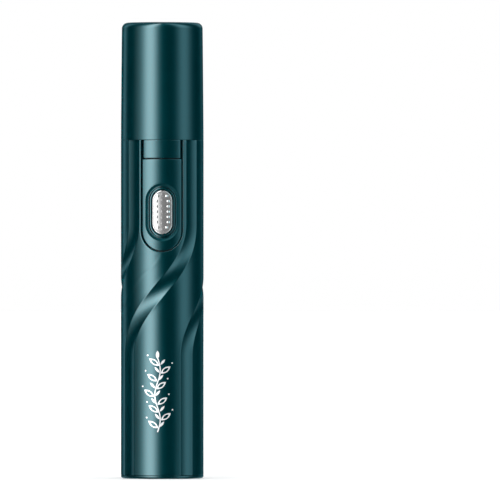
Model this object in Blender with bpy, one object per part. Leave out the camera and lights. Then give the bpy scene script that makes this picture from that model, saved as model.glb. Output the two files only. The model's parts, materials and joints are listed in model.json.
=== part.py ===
"""Nose hair trimmer, built as separate pieces around one vertical axis.

Run with: blender --background --python part.py
Sizes are in millimetres. Z points up, the switch faces -Y, and an azimuth of 0 degrees is the front,
counted towards +X. The origin is the middle of the base.
"""
import math

import bmesh
import bpy
from mathutils import Matrix, Vector

MM = 0.001

# Barrel
BODY_R = 12.25
SHELL_INNER_R = 10.4
SHELL_BOTTOM = 0.6
SHELL_TOP = 100.1
GROOVE_WIDTH = 4.36
GROOVE_DEPTH = 0.45
GROOVE_TOP_DEG = 46.4
GROOVE_TWIST_DEG = 99.7
TWIST_BOTTOM = 36.4
TWIST_TOP = 75.4

# Front opening, its tab and its panel
WINDOW_WIDTH = 12.54
WINDOW_BOTTOM = 67.0
PANEL_WIDTH = 11.7
PANEL_BOTTOM = 67.35
PANEL_TOP = 94.1
TAB_WIDTH = 11.1
TAB_BOTTOM = 94.7

# Button
BUTTON_Z = 78.75
BUTTON_WIDTH = 7.6
BUTTON_HEIGHT = 14.7
BUTTON_GAP = 0.35
DISH_WIDTH = 10.1
DISH_HEIGHT = 16.7
INLAY_WIDTH = 6.1
INLAY_HEIGHT = 13.0

# Neck, rings and cones
COLLAR_TOP = 102.25
NECK_R = 8.0
NECK_TOP = 104.3
SPIGOT_R = 6.0
SPIGOT_BORE_R = 5.0
SPIGOT_TOP = 107.5
RING_BOTTOM = 102.6
RING_TOP = 109.2
RING_R = 9.38
CONE_SLOPE = 0.132
CONE_BOTTOM = 109.45
CONE_TOP = 121.35
CONE_BOTTOM_R = 8.5
CONE_CORNER = 1.2
TUBE_R = 4.05
TUBE_BORE_R = 3.65
TUBE_TOP = 131.5
CAP_BOTTOM = 100.2
CAP_TOP = 135.0

# Inner frame and what it holds
FRAME_R = 10.05
FRAME_BORE_R = 8.9
FRAME_BOTTOM = 5.6
FRAME_TOP = 96.6
CELL_R = 7.1
CELL_BOTTOM = 6.3
CELL_TOP = 55.5
BULKHEAD_BOTTOM = 58.0
BULKHEAD_TOP = 59.5
SCREW_X = 5.0
SCREW_Z = 64.5
MOTOR_R = 6.0
MOTOR_BOTTOM = 75.0
MOTOR_TOP = 95.0
SHAFT_R = 0.75
BOARD_BACK = 6.3
BOARD_FRONT = 7.1

# Facets around each kind of round piece
FINE = 40
MEDIUM = 28
COARSE = 18


def clear_scene():
    for old in list(bpy.data.objects):
        bpy.data.objects.remove(old, do_unlink=True)


def make_material(name, color, roughness, metallic):
    material = bpy.data.materials.new(name)
    material.use_nodes = True
    shader = material.node_tree.nodes["Principled BSDF"]
    shader.inputs["Base Color"].default_value = (*color, 1.0)
    shader.inputs["Roughness"].default_value = roughness
    shader.inputs["Metallic"].default_value = metallic
    material.diffuse_color = (*color, 1.0)
    return material


def finish_object(name, bm, material, lift=0.0, smooth=True):
    """Turn a mesh in millimetres into an object whose origin sits on the axis at height lift."""
    bmesh.ops.remove_doubles(bm, verts=bm.verts, dist=0.00005)
    bmesh.ops.translate(bm, vec=(0.0, 0.0, -lift), verts=bm.verts)
    bmesh.ops.scale(bm, vec=(MM, MM, MM), verts=bm.verts)
    bmesh.ops.recalc_face_normals(bm, faces=bm.faces)
    mesh = bpy.data.meshes.new(name)
    bm.to_mesh(mesh)
    bm.free()
    piece = bpy.data.objects.new(name, mesh)
    bpy.context.scene.collection.objects.link(piece)
    piece.location = (0.0, 0.0, lift * MM)
    if material is not None:
        mesh.materials.append(material)
    if smooth:
        mesh.shade_smooth()
        mesh.set_sharp_from_angle(angle=math.radians(35))
    return piece


def arc(centre_r, centre_z, radius, start_deg, end_deg, steps):
    """Points of a round corner in a (radius, height) outline."""
    points = []
    for step in range(steps + 1):
        angle = math.radians(start_deg + (end_deg - start_deg) * step / steps)
        points.append((centre_r + radius * math.cos(angle), centre_z + radius * math.sin(angle)))
    return points


def lathe_mesh(outline, segments):
    """Spin a closed (radius, height) outline once around Z, leaving out any edge that lies on the axis."""
    bm = bmesh.new()
    verts = [bm.verts.new((r, 0.0, z)) for r, z in outline]
    for low, high in zip(verts, verts[1:] + verts[:1]):
        if low.co.x > 0.0 or high.co.x > 0.0:
            bm.edges.new((low, high))
    bmesh.ops.spin(bm, geom=bm.verts[:] + bm.edges[:], cent=(0, 0, 0), axis=(0, 0, 1),
                   angle=math.tau, steps=segments, use_merge=True)
    bmesh.ops.remove_doubles(bm, verts=bm.verts, dist=0.0001)
    bmesh.ops.dissolve_degenerate(bm, edges=bm.edges, dist=0.00001)
    return bm


def lathe(name, outline, material, segments=MEDIUM, lift=0.0):
    return finish_object(name, lathe_mesh(outline, segments), material, lift)


def lathe_forward(name, outline, x, z, material, segments=COARSE, lift=0.0):
    """Spin a (radius, distance) outline around a line along Y; its distance counts towards the front."""
    bm = lathe_mesh(outline, segments)
    turn = Matrix.Translation((x, 0.0, z)) @ Matrix.Rotation(math.radians(90), 4, "X")
    bmesh.ops.transform(bm, matrix=turn, verts=bm.verts)
    return finish_object(name, bm, material, lift)


def sector_mesh(outline, start_deg, end_deg, steps):
    """Spin a closed outline through part of a turn, between two azimuths, with flat ends."""
    bm = bmesh.new()
    start = math.radians(start_deg)
    verts = [bm.verts.new((r * math.sin(start), -r * math.cos(start), z)) for r, z in outline]
    bm.faces.new(verts)
    bmesh.ops.spin(bm, geom=bm.verts[:] + bm.edges[:] + bm.faces[:], cent=(0, 0, 0), axis=(0, 0, 1),
                   angle=math.radians(end_deg - start_deg), steps=steps)
    return bm


def skin_rings(rings, closed):
    """Join rings of equal length with quads; closed joins the last to the first, else ends are capped."""
    bm = bmesh.new()
    loops = [[bm.verts.new(point) for point in ring] for ring in rings]
    pairs = list(zip(loops, loops[1:]))
    if closed:
        pairs.append((loops[-1], loops[0]))
    for low, high in pairs:
        for index in range(len(low)):
            after = (index + 1) % len(low)
            bm.faces.new((low[index], low[after], high[after], high[index]))
    if not closed:
        for loop in (loops[0], loops[-1]):
            centre = bm.verts.new(sum((vert.co for vert in loop), Vector()) / len(loop))
            for index in range(len(loop)):
                bm.faces.new((loop[index], loop[(index + 1) % len(loop)], centre))
    return bm


def block(name, low, high, material, bevel=0.0, lift=0.0):
    """A box between two corners, with its edges bevelled if asked."""
    bm = bmesh.new()
    size = [top - bottom for bottom, top in zip(low, high)]
    middle = [(top + bottom) / 2 for bottom, top in zip(low, high)]
    bmesh.ops.create_cube(bm, size=1.0, matrix=Matrix.Translation(middle) @ Matrix.Diagonal((*size, 1.0)))
    if bevel > 0.0:
        bmesh.ops.bevel(bm, geom=bm.edges[:], offset=bevel, segments=1, affect="EDGES")
    return finish_object(name, bm, material, lift, smooth=False)


def combine(target, tool, operation):
    """Add a Boolean modifier to target and mark the tool as a construction object."""
    modifier = target.modifiers.new(tool.name, "BOOLEAN")
    modifier.object = tool
    modifier.operation = operation
    modifier.solver = "EXACT"
    tool.display_type = "WIRE"
    tool.hide_render = True


def stadium(width, height, steps=6):
    """Outline (x, z) of an upright slot shape with round ends, around its own middle."""
    radius = width / 2
    rise = height / 2 - radius
    points = []
    for centre, start in ((rise, 0.0), (-rise, 180.0)):
        for step in range(steps + 1):
            angle = math.radians(start + 180.0 * step / steps)
            points.append((radius * math.cos(angle), centre + radius * math.sin(angle)))
    return points


def core(size):
    """Size of the narrow slot shape along the middle of a slot shape, which keeps a curved end cap curved."""
    return (1.0, size[1] - size[0] + 1.0)


def wrap_ring(outline, radius, height):
    """Lay an (x, z) outline onto a cylinder of the given radius, facing the front."""
    return [(x, -math.sqrt(radius ** 2 - x ** 2), z + height) for x, z in outline]


def front_prism(name, width, bottom, top, near, far, steps=12):
    """Solid along Y whose outline is a U: round at the bottom and square at the top."""
    radius = width / 2
    outline = [(radius, top), (-radius, top)]
    for step in range(steps + 1):
        angle = math.radians(180.0 + 180.0 * step / steps)
        outline.append((radius * math.cos(angle), bottom + radius + radius * math.sin(angle)))
    bm = bmesh.new()
    face = bm.faces.new([bm.verts.new((x, near, z)) for x, z in outline])
    side = bmesh.ops.extrude_face_region(bm, geom=[face])
    moved = [item for item in side["geom"] if isinstance(item, bmesh.types.BMVert)]
    bmesh.ops.translate(bm, vec=(0.0, far - near, 0.0), verts=moved)
    return finish_object(name, bm, None, smooth=False)


def wire(name, points, radius, material):
    """A round wire through a few points."""
    curve = bpy.data.curves.new(name, "CURVE")
    curve.dimensions = "3D"
    curve.resolution_u = 3
    curve.bevel_depth = radius * MM
    curve.bevel_resolution = 1
    curve.use_fill_caps = True
    spline = curve.splines.new("NURBS")
    spline.points.add(len(points) - 1)
    for point, place in zip(spline.points, points):
        point.co = (*(value * MM for value in place), 1.0)
    spline.use_endpoint_u = True
    spline.order_u = 3
    piece = bpy.data.objects.new(name, curve)
    bpy.context.scene.collection.objects.link(piece)
    curve.materials.append(material)
    return piece


def coil(name, bottom, top, radii, turns, wire_radius, material):
    """A coil spring from its bottom radius to its top radius."""
    steps = turns * 10
    points = []
    for step in range(steps + 1):
        share = step / steps
        angle = math.tau * turns * share
        radius = radii[0] + (radii[1] - radii[0]) * share
        points.append((radius * math.cos(angle), radius * math.sin(angle), bottom + (top - bottom) * share))
    piece = wire(name, points, wire_radius, material)
    piece.data.resolution_u = 1
    return piece


clear_scene()

TEAL = make_material("teal_paint", (0.012, 0.105, 0.125), 0.28, 0.75)
CHROME = make_material("chrome", (0.80, 0.81, 0.82), 0.08, 1.0)
STEEL = make_material("steel", (0.55, 0.56, 0.58), 0.30, 1.0)
COPPER = make_material("copper", (0.72, 0.38, 0.22), 0.35, 1.0)
BRASS = make_material("brass", (0.72, 0.58, 0.30), 0.30, 1.0)
DARK_PLASTIC = make_material("dark_plastic", (0.03, 0.035, 0.038), 0.50, 0.0)
WHITE_PLASTIC = make_material("white_plastic", (0.78, 0.78, 0.75), 0.45, 0.0)
RUBBER = make_material("rubber", (0.02, 0.02, 0.02), 0.80, 0.0)
BOARD_GREEN = make_material("board_green", (0.02, 0.16, 0.07), 0.45, 0.0)
CELL_WRAP = make_material("cell_wrap", (0.10, 0.11, 0.13), 0.35, 0.4)
MAGNET_GREY = make_material("magnet_grey", (0.10, 0.10, 0.11), 0.60, 0.3)
RED_WIRE = make_material("red_wire", (0.55, 0.03, 0.03), 0.50, 0.0)
BLACK_WIRE = make_material("black_wire", (0.02, 0.02, 0.02), 0.50, 0.0)


# Barrel shell. Its flutes keep their true width, so their span in azimuth grows where they lean.

def groove_centre_deg(height):
    share = min(max((height - TWIST_BOTTOM) / (TWIST_TOP - TWIST_BOTTOM), 0.0), 1.0)
    return GROOVE_TOP_DEG - GROOVE_TWIST_DEG * (0.5 + 0.5 * math.cos(math.pi * share))


def groove_half_deg(height):
    slope = math.radians(groove_centre_deg(height + 0.5) - groove_centre_deg(height - 0.5))
    lean = math.atan(BODY_R * slope)
    return math.degrees(GROOVE_WIDTH / 2 / BODY_R) / math.cos(lean)


def fluted_ring(height, inset):
    """One level of the barrel's outside: four flutes and the four lands between them."""
    centre = groove_centre_deg(height)
    half = groove_half_deg(height)
    ring = []
    for quarter in range(4):
        stations = [(half * share, GROOVE_DEPTH * (1 - share ** 2)) for share in (-1, -0.6, 0, 0.6, 1)]
        land = 90 - 2 * half
        stations += [(half + land * step / 8, 0.0) for step in range(1, 8)]
        for offset, depth in stations:
            azimuth = math.radians(centre + 90 * quarter + offset)
            radius = BODY_R - depth - inset
            ring.append((radius * math.sin(azimuth), -radius * math.cos(azimuth), height))
    return ring


TWIST_STEPS = 13
TWIST_RISE = (TWIST_TOP - TWIST_BOTTOM) / TWIST_STEPS
twist_levels = [TWIST_BOTTOM + TWIST_RISE * step for step in range(TWIST_STEPS + 1)]
shell_rings = [fluted_ring(SHELL_BOTTOM, 0.25), fluted_ring(SHELL_BOTTOM + 0.25, 0.0)]
shell_rings += [fluted_ring(level, 0.0) for level in twist_levels]
shell_rings += [fluted_ring(SHELL_TOP - 0.2, 0.0), fluted_ring(SHELL_TOP, 0.2)]
outer_shell = finish_object("outer_shell", skin_rings(shell_rings, closed=False), TEAL)
bore_outline = [(0, -1), (SHELL_INNER_R, -1), (SHELL_INNER_R, SHELL_TOP + 1), (0, SHELL_TOP + 1)]
combine(outer_shell, lathe("bore_cutter", bore_outline, None, FINE), "DIFFERENCE")
window_cutter = front_prism("window_cutter", WINDOW_WIDTH, WINDOW_BOTTOM, SHELL_TOP + 5, -15, -5)
combine(outer_shell, window_cutter, "DIFFERENCE")

# Collar: skirt in the barrel, ring, neck and spigot, with the front tab joined on.
collar_outline = [(9.0, 97.0), (10.1, 97.0), (10.32, 99.95), (10.38, 100.5), (10.6, 101.35)]
collar_outline += arc(10.33, COLLAR_TOP - 0.3, 0.3, 0, 90, 2)
collar_outline += [(NECK_R, COLLAR_TOP), (NECK_R, NECK_TOP), (SPIGOT_R, NECK_TOP), (SPIGOT_R, 105.2)]
collar_outline += [(5.55, 105.2), (5.55, 106.4), (SPIGOT_R, 106.4), (SPIGOT_R, SPIGOT_TOP)]
collar_outline += [(SPIGOT_BORE_R, SPIGOT_TOP), (SPIGOT_BORE_R, 101.0), (9.0, 101.0)]
collar = lathe("collar", collar_outline, TEAL, FINE)
tab_outline = [(9.6, 97.3), (9.6, 99.75), (BODY_R - 0.15, SHELL_TOP), (BODY_R, SHELL_TOP - 0.15),
               (BODY_R, TAB_BOTTOM), (10.4, TAB_BOTTOM), (10.4, 97.3)]
tab_sector = finish_object("tab_sector", sector_mesh(tab_outline, -29, 29, 14), None)
tab_prism = front_prism("tab_prism", TAB_WIDTH, TAB_BOTTOM - 20, SHELL_TOP + 1, -15, -5)
combine(tab_sector, tab_prism, "INTERSECT")
combine(collar, tab_sector, "UNION")

lathe("neck_seal", arc(5.91, 105.8, 0.24, 0, 300, 5), RUBBER, MEDIUM)

# Switch panel: a curved plate with a foot behind its top, cut to the window's outline.
panel_outline = [(BODY_R, PANEL_BOTTOM), (BODY_R, PANEL_TOP), (10.4, PANEL_TOP), (10.4, 88.2),
                 (11.0, 88.2), (11.0, PANEL_BOTTOM)]
switch_panel = finish_object("switch_panel", sector_mesh(panel_outline, -31, 31, 16), TEAL)
panel_prism = front_prism("panel_prism", PANEL_WIDTH, PANEL_BOTTOM, PANEL_TOP + 2, -15, -5)
combine(switch_panel, panel_prism, "INTERSECT")
opening = (BUTTON_WIDTH + 2 * BUTTON_GAP, BUTTON_HEIGHT + 2 * BUTTON_GAP)
dish_layers = [((DISH_WIDTH, DISH_HEIGHT), 13.2), ((DISH_WIDTH, DISH_HEIGHT), BODY_R),
               (opening, BODY_R - 0.55), (opening, 10.2)]
dish_rings = [wrap_ring(stadium(*size), radius, BUTTON_Z) for size, radius in dish_layers]
dish_cutter = finish_object("dish_cutter", skin_rings(dish_rings, closed=False), None)
combine(switch_panel, dish_cutter, "DIFFERENCE")

# Push button: curved flange behind the panel, raised cap with a pocket for the inlay.
FLANGE = (9.8, 17.0)
BUTTON = (BUTTON_WIDTH, BUTTON_HEIGHT)
POCKET = (INLAY_WIDTH + 0.4, INLAY_HEIGHT + 0.4)
INLAY = (INLAY_WIDTH, INLAY_HEIGHT)
button_layers = [(core(FLANGE), 9.9), (FLANGE, 9.9), (FLANGE, 10.7), (BUTTON, 10.7), (BUTTON, 11.72),
                 ((BUTTON_WIDTH - 0.4, BUTTON_HEIGHT - 0.4), 11.9), (POCKET, 11.9), (POCKET, 11.3),
                 (core(POCKET), 11.3)]
button_rings = [wrap_ring(stadium(*size), radius, BUTTON_Z) for size, radius in button_layers]
finish_object("button_body", skin_rings(button_rings, closed=False), TEAL, lift=BUTTON_Z)
inlay_layers = [(core(INLAY), 11.42), (INLAY, 11.42), (INLAY, 11.85),
                ((INLAY_WIDTH - 0.5, INLAY_HEIGHT - 0.5), 12.02), (core(INLAY), 12.15)]
inlay_rings = [wrap_ring(stadium(*size), radius, BUTTON_Z) for size, radius in inlay_layers]
finish_object("button_inlay", skin_rings(inlay_rings, closed=False), STEEL, lift=BUTTON_Z)
plunger_outline = [(0, 8.1), (1.2, 8.1), (1.2, 9.55), (0, 9.55)]
lathe_forward("switch_plunger", plunger_outline, 0, BUTTON_Z, WHITE_PLASTIC, 16, lift=BUTTON_Z)

# Board and push switch. The plunger runs in the switch's blind hole.
block("circuit_board", (-5.0, -BOARD_FRONT, 70.5), (5.0, -BOARD_BACK, 86.5), BOARD_GREEN)
switch_low = (-2.0, -8.4, BUTTON_Z - 2.4)
switch_high = (2.0, -7.2, BUTTON_Z + 2.4)
switch_body = block("switch_body", switch_low, switch_high, DARK_PLASTIC, 0.2)
hole_outline = [(0, 7.4), (1.45, 7.4), (1.45, 9.5), (0, 9.5)]
plunger_hole = lathe_forward("plunger_hole", hole_outline, 0, BUTTON_Z, None, 16)
combine(switch_body, plunger_hole, "DIFFERENCE")

# Inner frame: two half tubes with ribs for the cell, a bulkhead and seats for the motor.
RIB_THICKNESS = 1.2
frame_outline = [(FRAME_R, FRAME_BOTTOM), (FRAME_R, FRAME_TOP), (FRAME_BORE_R, FRAME_TOP)]
for rib_z, rib_r in ((91.0, 6.3), (76.5, 6.3), (71.0, 5.2)):
    frame_outline += [(FRAME_BORE_R, rib_z), (rib_r, rib_z)]
    frame_outline += [(rib_r, rib_z - RIB_THICKNESS), (FRAME_BORE_R, rib_z - RIB_THICKNESS)]
frame_outline += [(FRAME_BORE_R, BULKHEAD_TOP), (2.6, BULKHEAD_TOP), (2.6, BULKHEAD_BOTTOM),
                  (FRAME_BORE_R, BULKHEAD_BOTTOM)]
for rib_z in (51.0, 31.0, 11.0):
    frame_outline += [(FRAME_BORE_R, rib_z), (7.5, rib_z)]
    frame_outline += [(7.5, rib_z - RIB_THICKNESS), (FRAME_BORE_R, rib_z - RIB_THICKNESS)]
frame_outline += [(FRAME_BORE_R, FRAME_BOTTOM)]
front_frame = finish_object("front_frame", sector_mesh(frame_outline, -89, 89, 12), DARK_PLASTIC)
rear_frame = finish_object("rear_frame", sector_mesh(frame_outline, 91, 269, 12), DARK_PLASTIC)
board_window = block("board_window", (-5.5, -11.0, 69.4), (5.5, -6.15, 87.4), None)
combine(front_frame, board_window, "DIFFERENCE")
strip_notch = block("strip_notch", (-1.6, 6.9, 4.0), (1.6, 8.7, 62.0), None)
combine(rear_frame, strip_notch, "DIFFERENCE")
for side, name in ((-1, "left"), (1, "right")):
    front_boss = lathe_forward(f"front_boss_{name}", [(0.95, 0.5), (2.1, 0.5), (2.1, 6.8), (0.95, 6.8)],
                               side * SCREW_X, SCREW_Z, None, 14)
    combine(front_frame, front_boss, "UNION")
    counterbore = lathe_forward(f"counterbore_{name}", [(0, 6.2), (1.75, 6.2), (1.75, 11.5), (0, 11.5)],
                                side * SCREW_X, SCREW_Z, None, 14)
    combine(front_frame, counterbore, "DIFFERENCE")
    boss_outline = [(0.95, -0.3), (2.1, -0.3), (2.1, -6.8), (0, -6.8), (0, -6.0), (0.95, -6.0)]
    rear_boss = lathe_forward(f"rear_boss_{name}", boss_outline, side * SCREW_X, SCREW_Z, None, 14)
    combine(rear_frame, rear_boss, "UNION")
    screw_outline = [(0, -5.8), (0.55, -5.8), (0.8, -5.0), (0.8, 6.35), (1.5, 6.35)]
    screw_outline += [(1.5, 7.1), (1.1, 7.4), (0, 7.4)]
    lathe_forward(f"frame_screw_{name}", screw_outline, side * SCREW_X, SCREW_Z, STEEL, 14)

# Cell and its contacts.
cell_outline = [(0, CELL_BOTTOM), (CELL_R - 0.4, CELL_BOTTOM)] + [(CELL_R, CELL_BOTTOM + 0.4)]
cell_outline += [(CELL_R, CELL_TOP - 0.4), (CELL_R - 0.4, CELL_TOP), (0, CELL_TOP)]
lathe("battery_cell", cell_outline, CELL_WRAP, COARSE)
lathe("battery_terminal", [(0, 55.6), (2.75, 55.6), (2.75, 56.5), (2.45, 56.8), (0, 56.8)], STEEL, COARSE)
positive_contact = block("positive_contact", (-4.0, -3.0, 57.1), (4.0, 3.0, 57.5), BRASS)
contact_tab = block("contact_tab", (-1.5, -0.2, 57.3), (1.5, 0.2, 62.0), None)
combine(positive_contact, contact_tab, "UNION")
block("negative_strip", (-1.2, 7.85, 2.9), (1.2, 8.25, 61.0), BRASS)

# Battery cover with its seal, contact disc and conical spring.
RIM_ROUND = 0.35
RIM_TOP = 0.5
cover_outline = [(0, 0), (BODY_R - RIM_ROUND, 0)] + arc(BODY_R - RIM_ROUND, RIM_ROUND, RIM_ROUND, -60, 0, 3)
cover_outline += [(BODY_R, RIM_TOP - 0.05), (BODY_R - 0.05, RIM_TOP), (10.1, RIM_TOP), (10.1, 2.5)]
cover_outline += [(9.25, 2.5), (9.25, 3.75), (10.1, 3.75), (10.1, 5.0), (8.6, 5.0), (8.6, 2.0), (0, 2.0)]
battery_cover = lathe("battery_cover", cover_outline, TEAL, FINE)
coin_slot = block("coin_slot", (-6.5, -0.9, -1.0), (6.5, 0.9, 0.7), None)
combine(battery_cover, coin_slot, "DIFFERENCE")
lathe("cover_seal", arc(9.82, 3.12, 0.42, 0, 300, 5), RUBBER, MEDIUM)
lathe("negative_plate", [(0, 2.15), (8.3, 2.15), (8.3, 2.55), (0, 2.55)], STEEL, MEDIUM)
coil("negative_spring", 3.0, 5.75, (4.6, 2.2), 3, 0.3, STEEL)

# Motor: can, end cap, bushing, magnets, brushes and terminals.
can_outline = [(5.6, MOTOR_BOTTOM), (MOTOR_R, MOTOR_BOTTOM),
               (MOTOR_R, MOTOR_TOP - 0.5), (MOTOR_R - 0.5, MOTOR_TOP),
               (1.75, MOTOR_TOP), (1.75, MOTOR_TOP - 0.8), (5.6, MOTOR_TOP - 0.8)]
lathe("motor_can", can_outline, STEEL, MEDIUM)
end_outline = [(0, 72.5), (5.6, 72.5), (5.9, 72.8), (5.9, 74.85), (0.95, 74.85), (0.95, 73.3), (0, 73.3)]
lathe("motor_end_cap", end_outline, WHITE_PLASTIC, COARSE)
bushing_outline = [(0.9, 93.6), (1.5, 93.6), (1.5, 95.1), (2.1, 95.1), (2.1, 96.3), (0.9, 96.3)]
lathe("motor_bushing", bushing_outline, BRASS, COARSE)
for name, start in (("left", -150), ("right", 30)):
    magnet = sector_mesh([(4.25, 77.5), (5.35, 77.5), (5.35, 91.5), (4.25, 91.5)], start, start + 120, 10)
    finish_object(f"magnet_{name}", magnet, MAGNET_GREY)
for name, side in (("left", -1), ("right", 1)):
    edges = sorted((side * 1.85, side * 2.1))
    block(f"brush_{name}", (edges[0], -0.8, 75.1), (edges[1], 0.8, 77.2), COPPER)
    edges = sorted((side * 3.3, side * 3.6))
    block(f"terminal_{name}", (edges[0], -0.9, 70.6), (edges[1], 0.9, 72.4), COPPER)

# Rotor: shaft, three-pole armature, commutator and the driver with its flat tang.
lathe("motor_shaft", [(0, 73.5), (SHAFT_R, 73.5), (SHAFT_R, 101.6), (0.55, 101.8), (0, 101.8)], STEEL, 16)


def pole_ring(height, outer):
    """Outline of the armature: three wide pole shoes, or its round bore."""
    ring = []
    for step in range(24):
        angle = math.tau * step / 24
        on_pole = abs((step + 4) % 8 - 4) <= 2
        radius = (3.9 if on_pole else 2.0) if outer else SHAFT_R + 0.15
        ring.append((radius * math.sin(angle), -radius * math.cos(angle), height))
    return ring


ARMATURE_BOTTOM = 79.5
ARMATURE_TOP = 90.0
armature_rings = [pole_ring(ARMATURE_BOTTOM, True), pole_ring(ARMATURE_TOP, True),
                  pole_ring(ARMATURE_TOP, False), pole_ring(ARMATURE_BOTTOM, False)]
finish_object("armature", skin_rings(armature_rings, closed=True), COPPER, smooth=False)
bore_r = SHAFT_R + 0.15
lathe("commutator", [(bore_r, 75.3), (1.6, 75.3), (1.6, 78.6), (bore_r, 78.6)], COPPER, 16)
hub_outline = [(bore_r, 97.6), (2.4, 97.6), (2.4, 103.0), (0, 103.0), (0, 102.0), (bore_r, 102.0)]
drive_hub = lathe("drive_hub", hub_outline, WHITE_PLASTIC, COARSE)
driver_tang = block("driver_tang", (-2.2, -0.5, 102.5), (2.2, 0.5, 106.0), None)
combine(drive_hub, driver_tang, "UNION")

# Leads between the contacts, the board and the motor.
battery_route = [(0.6, -0.7, 61.4), (0.9, -3.0, 62.6), (0.6, -6.4, 65.5), (0.5, -6.7, 70.1)]
ground_route = [(0.0, 7.3, 61.0), (-1.6, 4.8, 63.4), (-2.2, 0.0, 64.2)]
ground_route += [(-1.6, -5.0, 65.6), (-1.2, -6.7, 70.1)]
wire("battery_lead", battery_route, 0.4, RED_WIRE)
wire("ground_lead", ground_route, 0.4, BLACK_WIRE)
for name, side, paint in (("left", -1, BLACK_WIRE), ("right", 1, RED_WIRE)):
    route = [(side * 3.5, 0.0, 70.2), (side * 3.5, -1.5, 68.2)]
    route += [(side * 3.1, -5.6, 67.8), (side * 2.8, -6.7, 70.1)]
    wire(f"motor_lead_{name}", route, 0.4, paint)

# Lock ring: a cone that turns on the neck, with a grip pad on each side.
GRIP_HALF_DEG = 30
GRIP_PROUD = 0.68
SKIRT_R = 7.15


def ring_outline(height, base_radius, proud):
    """A level of the lock ring: a circle that swells by proud over each grip."""
    ring = []
    for step in range(FINE):
        azimuth = 360 * step / FINE
        off_grip = abs((azimuth % 180) - 90)
        radius = base_radius + (proud if off_grip <= GRIP_HALF_DEG else 0.0)
        angle = math.radians(azimuth)
        ring.append((radius * math.sin(angle), -radius * math.cos(angle), height))
    return ring


RING_TOP_R = RING_R - CONE_SLOPE * (RING_TOP - RING_BOTTOM)
RING_STEP = 104.8
ring_levels = [(RING_BOTTOM, NECK_R + 0.25, 0), (RING_BOTTOM, RING_R - 0.15, GRIP_PROUD),
               (RING_BOTTOM + 0.2, RING_R, GRIP_PROUD), (RING_TOP - 0.2, RING_TOP_R, GRIP_PROUD),
               (RING_TOP, RING_TOP_R - 0.15, GRIP_PROUD - 0.2), (RING_TOP, SKIRT_R + 0.3, 0),
               (RING_STEP, SKIRT_R + 0.3, 0), (RING_STEP, NECK_R + 0.25, 0)]
lock_rings = [ring_outline(*level) for level in ring_levels]
finish_object("lock_ring", skin_rings(lock_rings, closed=True), TEAL)

# Head: nose cone, chrome tube with a slotted crown, and the guide that holds the tube's foot.
CONE_TOP_R = CONE_BOTTOM_R - CONE_SLOPE * (CONE_TOP - CONE_CORNER - CONE_BOTTOM)
cone_outline = [(SPIGOT_R + 0.25, 104.9), (SKIRT_R, 104.9), (SKIRT_R, CONE_BOTTOM - 0.1),
                (CONE_BOTTOM_R - 0.1, CONE_BOTTOM - 0.1), (CONE_BOTTOM_R, CONE_BOTTOM)]
cone_outline += arc(CONE_TOP_R - CONE_CORNER, CONE_TOP - CONE_CORNER, CONE_CORNER, 8, 90, 4)
cone_outline += [(TUBE_R + 0.25, CONE_TOP), (TUBE_R + 0.25, 119.7), (5.7, 119.7), (6.75, 110.0),
                 (SPIGOT_R + 0.25, 109.4)]
lathe("nose_cone", cone_outline, TEAL, FINE)
tube_outline = [(TUBE_BORE_R, 118.3), (5.3, 118.3), (5.3, 119.4), (TUBE_R, 119.4)]
tube_outline += arc(TUBE_R - 1.2, TUBE_TOP - 1.2, 1.2, 0, 90, 3)
tube_outline += [(0, TUBE_TOP), (0, TUBE_TOP - 0.4)]
tube_outline += arc(TUBE_R - 1.2, TUBE_TOP - 1.2, 0.8, 90, 0, 2)
cutter_tube = lathe("cutter_tube", tube_outline, CHROME, 36)
slots = bmesh.new()
SLOT_COUNT = 12
for index in range(SLOT_COUNT):
    turn = Matrix.Rotation(math.radians(360 / SLOT_COUNT * (index + 0.5)), 4, "Z")
    place = turn @ Matrix.Translation((0, -3.4, 131.0))
    bmesh.ops.create_cube(slots, size=1.0, matrix=place @ Matrix.Diagonal((0.5, 3.0, 2.8, 1.0)))
combine(cutter_tube, finish_object("crown_slots", slots, None, smooth=False), "DIFFERENCE")
guide_outline = [(1.35, 111.5), (6.4, 111.5), (6.4, 112.6), (5.5, 112.6), (5.5, 118.0), (4.7, 118.0),
                 (4.7, 112.6),
                 (1.35, 112.6)]
lathe("stem_guide", guide_outline, WHITE_PLASTIC, COARSE)

# Blade: toothed cutter on a stem, with the fork that takes the driver's tang and the lifting spring.
cutter_outline = [(1.2, 126.0), (3.3, 126.0), (3.3, 130.5), (3.0, 130.85), (2.5, 130.85)]
cutter_outline += [(2.5, 127.2), (1.2, 127.2)]
inner_cutter = lathe("inner_cutter", cutter_outline, STEEL, 24)
gaps = bmesh.new()
for index in range(6):
    place = Matrix.Rotation(math.radians(60 * index), 4, "Z") @ Matrix.Translation((0, -3.0, 130.0))
    bmesh.ops.create_cube(gaps, size=1.0, matrix=place @ Matrix.Diagonal((1.5, 2.0, 3.6, 1.0)))
combine(inner_cutter, finish_object("tooth_gaps", gaps, None, smooth=False), "DIFFERENCE")
stem_outline = [(0, 107.6), (1.0, 107.6), (1.0, 117.9), (2.4, 117.9), (2.4, 118.7), (1.0, 118.7)]
stem_outline += [(1.0, 127.0), (0, 127.0)]
lathe("cutter_stem", stem_outline, STEEL, 16)
fork_outline = [(0, 103.4), (3.4, 103.4), (3.4, 108.6), (2.4, 110.6), (1.2, 110.6), (1.2, 107.4), (0, 107.4)]
drive_fork = lathe("drive_fork", fork_outline, WHITE_PLASTIC, COARSE)
fork_slot = block("fork_slot", (-5.0, -0.95, 102.0), (5.0, 0.95, 106.6), None)
combine(drive_fork, fork_slot, "DIFFERENCE")
coil("blade_spring", 113.1, 117.3, (1.9, 1.9), 3, 0.22, STEEL)

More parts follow.
